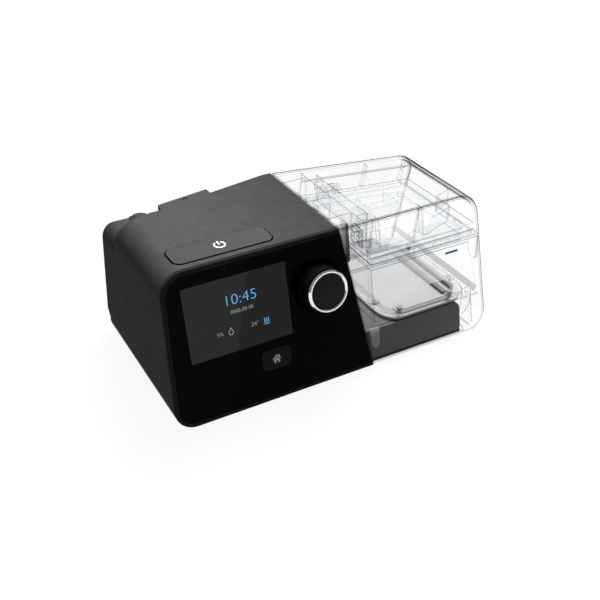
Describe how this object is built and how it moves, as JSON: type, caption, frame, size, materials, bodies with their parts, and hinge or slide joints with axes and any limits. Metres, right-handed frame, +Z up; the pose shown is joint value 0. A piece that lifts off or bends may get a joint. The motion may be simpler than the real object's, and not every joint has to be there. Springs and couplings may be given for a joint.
{
  "type": "cpap machine",
  "caption": "Bedside CPAP machine: dark blower unit with display, turning push knob and buttons, and a clear slide-off water tank with a hinged lid over a heater plate.",
  "frame": {"origin": "on the surface it stands on, under the middle of the whole machine's bounding box", "axes": "+X to the right as seen by the user, along the longest side; +Y to the rear; +Z up; the display faces -Y"},
  "size_m": [0.2635, 0.1496, 0.1128],
  "materials": {
    "casing_dark": "satin, fine texture",
    "casing_top": "satin",
    "gloss_black": "polished black lens",
    "chrome_trim": "polished",
    "knob_dark": "satin",
    "button_grey": "satin",
    "clear_plastic": "clear moulded plastic",
    "silicone_white": "translucent silicone",
    "silicone_grey": "soft silicone",
    "rubber_dark": "matte",
    "steel_plate": "drawn stainless",
    "steel_screw": "plated",
    "aluminium_plate": "bead blasted",
    "board_green": "solder mask",
    "display_glass": "dark display",
    "inner_white": "natural",
    "inner_grey": "natural",
    "filter_white": "non-woven",
    "heater_foil": "polyimide film",
    "spring_steel": "bare"
  },
  "bodies": {
    "casing": {"lower_housing": "casing_dark", "upper_housing": "casing_top", "rear_cover": "casing_dark", "front_bezel": "casing_dark", "front_glass": "gloss_black", "light_sensor": "inner_grey", "lcd_module": "display_glass", "knob_well": "casing_dark", "front_pcb": "board_green", "tact_switches": "inner_grey", "power_switch_board": "board_green", "encoder_body": "inner_grey", "pcb_screws": "steel_screw", "blower_lower": "inner_white", "blower_upper": "inner_white", "blower_motor": "inner_grey", "blower_mounts": "silicone_grey", "blower_duct": "inner_white", "outlet_duct": "inner_white", "outlet_spigot": "inner_white", "port_seal": "silicone_white", "port_lip": "rubber_dark", "return_seal": "rubber_dark", "main_pcb": "board_green", "power_inlet": "rubber_dark", "card_socket": "inner_grey", "filter_frame": "inner_grey", "air_filter": "filter_white", "heater_base": "casing_dark", "heater_springs": "spring_steel", "rubber_feet": "rubber_dark", "housing_screws": "steel_screw"},
    "knob_press": {"encoder_plunger": "inner_grey"},
    "control_knob": {"knob_skirt": "knob_dark", "knob_ring": "chrome_trim", "knob_cap": "knob_dark"},
    "home_button": {"home_button": "button_grey"},
    "power_button": {"power_button": "button_grey"},
    "impeller": {"impeller": "inner_white", "rotor_shaft": "steel_screw"},
    "heater_plate": {"heater_plate": "aluminium_plate", "heater_element": "heater_foil"},
    "filter_cover": {"filter_cover": "casing_dark"},
    "outlet_collar": {"outlet_collar": "casing_dark"},
    "memory_card": {"memory_card": "gloss_black"},
    "water_tank": {"tank_shell": "clear_plastic", "tank_knuckles": "clear_plastic", "tank_leg": "clear_plastic", "heat_plate": "steel_plate", "plate_gasket": "silicone_white", "tank_floor_frame": "clear_plastic", "frame_screws": "steel_screw", "hinge_pins": "clear_plastic"},
    "lid": {"lid_shell": "clear_plastic", "lid_channel": "clear_plastic", "lid_ribs": "clear_plastic", "lid_knuckles": "clear_plastic", "lid_gasket": "silicone_white", "lid_tray": "clear_plastic"}
  },
  "joints": [
    {"name": "knob_push", "type": "slide", "parent": "casing", "child": "knob_press", "axis": [0, 0.9767, -0.2147], "range_m": [0, 0.001], "stiffness_N_per_m": 1500, "springref_m": -0.0005},
    {"name": "knob_turn", "type": "hinge", "parent": "knob_press", "child": "control_knob", "pos_m": [-0.0135, -0.06481, 0.07746], "axis": [0, -0.9767, 0.2147], "continuous": true},
    {"name": "home_push", "type": "slide", "parent": "casing", "child": "home_button", "axis": [0, 0.9767, -0.2147], "range_m": [0, 0.0006], "stiffness_N_per_m": 2000, "springref_m": -0.0003},
    {"name": "power_push", "type": "slide", "parent": "casing", "child": "power_button", "axis": [0, 0, -1], "range_m": [0, 0.0008], "stiffness_N_per_m": 2000, "springref_m": -0.0003},
    {"name": "impeller_spin", "type": "hinge", "parent": "casing", "child": "impeller", "pos_m": [-0.0545, 0.01278, 0.032], "axis": [0, 0, 1], "continuous": true},
    {"name": "heater_plate_float", "type": "slide", "parent": "casing", "child": "heater_plate", "axis": [0, 0, -1], "range_m": [0, 0.0015], "stiffness_N_per_m": 1500, "springref_m": -0.001},
    {"name": "filter_cover_pull", "type": "slide", "parent": "casing", "child": "filter_cover", "axis": [0, 1, 0], "range_m": [0, 0.03]},
    {"name": "outlet_swivel", "type": "hinge", "parent": "casing", "child": "outlet_collar", "pos_m": [-0.0972, 0.05679, 0.081], "axis": [0, 1, 0], "continuous": true},
    {"name": "card_pull", "type": "slide", "parent": "casing", "child": "memory_card", "axis": [0, 1, 0], "range_m": [0, 0.034]},
    {"name": "tank_pull", "type": "slide", "parent": "casing", "child": "water_tank", "axis": [1, 0, 0], "range_m": [0, 0.125]},
    {"name": "lid_hinge", "type": "hinge", "parent": "water_tank", "child": "lid", "pos_m": [0.0475, 0.06278, 0.0805], "axis": [-1, 0, 0], "range_deg": [0, 85]}
  ]
}
